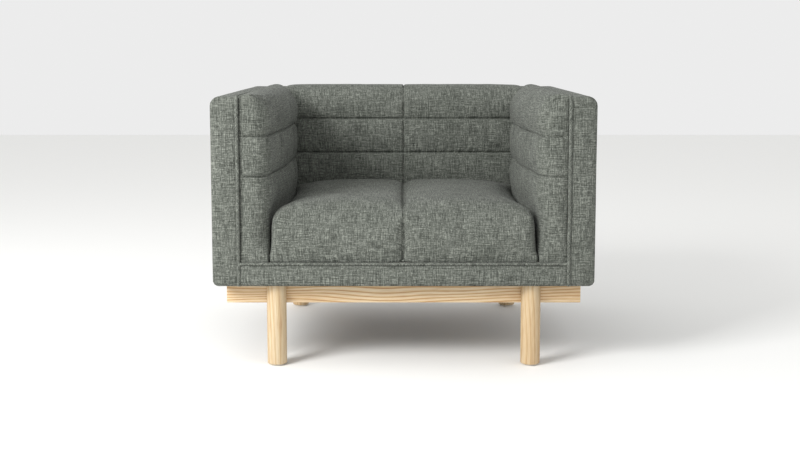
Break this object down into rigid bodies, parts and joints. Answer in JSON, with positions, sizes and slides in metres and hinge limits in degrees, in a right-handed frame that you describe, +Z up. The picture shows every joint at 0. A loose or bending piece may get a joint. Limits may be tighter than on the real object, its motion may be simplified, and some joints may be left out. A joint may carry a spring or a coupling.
{
  "type": "upholstered armchair",
  "caption": "Low tuxedo armchair with channel-quilted arm and back pads, a fixed crowned seat, welted seams and a rail base with round legs.",
  "frame": {"origin": "on the floor, under the middle of the chair's width and depth", "axes": "+Z up, -Y towards the chair's front, +X to the right for someone who looks at the front"},
  "size_m": [1, 0.8315, 0.724],
  "materials": {
    "ash": "satin",
    "frame_wood": "matte",
    "plywood": "matte",
    "woven_fabric": "matte",
    "spring_steel": "satin",
    "zinc_steel": "satin",
    "webbing": "matte",
    "felt": "matte",
    "dust_cover": "matte",
    "nylon": "satin"
  },
  "bodies": {
    "root": {"arm_board_left": "plywood", "arm_board_right": "plywood", "arm_top_rail_left": "frame_wood", "arm_top_rail_right": "frame_wood", "back_pad": "woven_fabric", "back_shell": "woven_fabric", "back_top_rail": "frame_wood", "back_webbing_1": "webbing", "back_webbing_2": "webbing", "back_webbing_3": "webbing", "back_welt": "woven_fabric", "base_front_rail": "ash", "base_left_cross_rail": "ash", "base_rear_rail": "ash", "base_right_cross_rail": "ash", "corner_block_front_left": "frame_wood", "corner_block_front_right": "frame_wood", "corner_block_rear_left": "frame_wood", "corner_block_rear_right": "frame_wood", "dust_cover": "dust_cover", "frame_screw_front_left": "zinc_steel", "frame_screw_front_right": "zinc_steel", "frame_screw_rear_left": "zinc_steel", "frame_screw_rear_right": "zinc_steel", "front_band": "woven_fabric", "front_post_left": "frame_wood", "front_post_right": "frame_wood", "glide_front_left": "nylon", "glide_front_right": "nylon", "glide_rear_left": "nylon", "glide_rear_right": "nylon", "left_arm_pad": "woven_fabric", "left_arm_shell": "woven_fabric", "left_arm_welt": "woven_fabric", "leg_bolt_front_left": "zinc_steel", "leg_bolt_front_right": "zinc_steel", "leg_bolt_rear_left": "zinc_steel", "leg_bolt_rear_right": "zinc_steel", "leg_front_left": "ash", "leg_front_right": "ash", "leg_rear_left": "ash", "leg_rear_right": "ash", "rear_post_left": "frame_wood", "rear_post_right": "frame_wood", "right_arm_pad": "woven_fabric", "right_arm_shell": "woven_fabric", "right_arm_welt": "woven_fabric", "seat_cushion": "woven_fabric", "seat_front_rail": "frame_wood", "seat_rail_left": "frame_wood", "seat_rail_right": "frame_wood", "seat_rear_rail": "frame_wood", "seat_welt": "woven_fabric", "sinuous_spring_1": "spring_steel", "sinuous_spring_2": "spring_steel", "sinuous_spring_3": "spring_steel", "sinuous_spring_4": "spring_steel", "sinuous_spring_5": "spring_steel", "spring_insulator": "felt", "spring_rail": "frame_wood"}
  },
  "joints": []
}
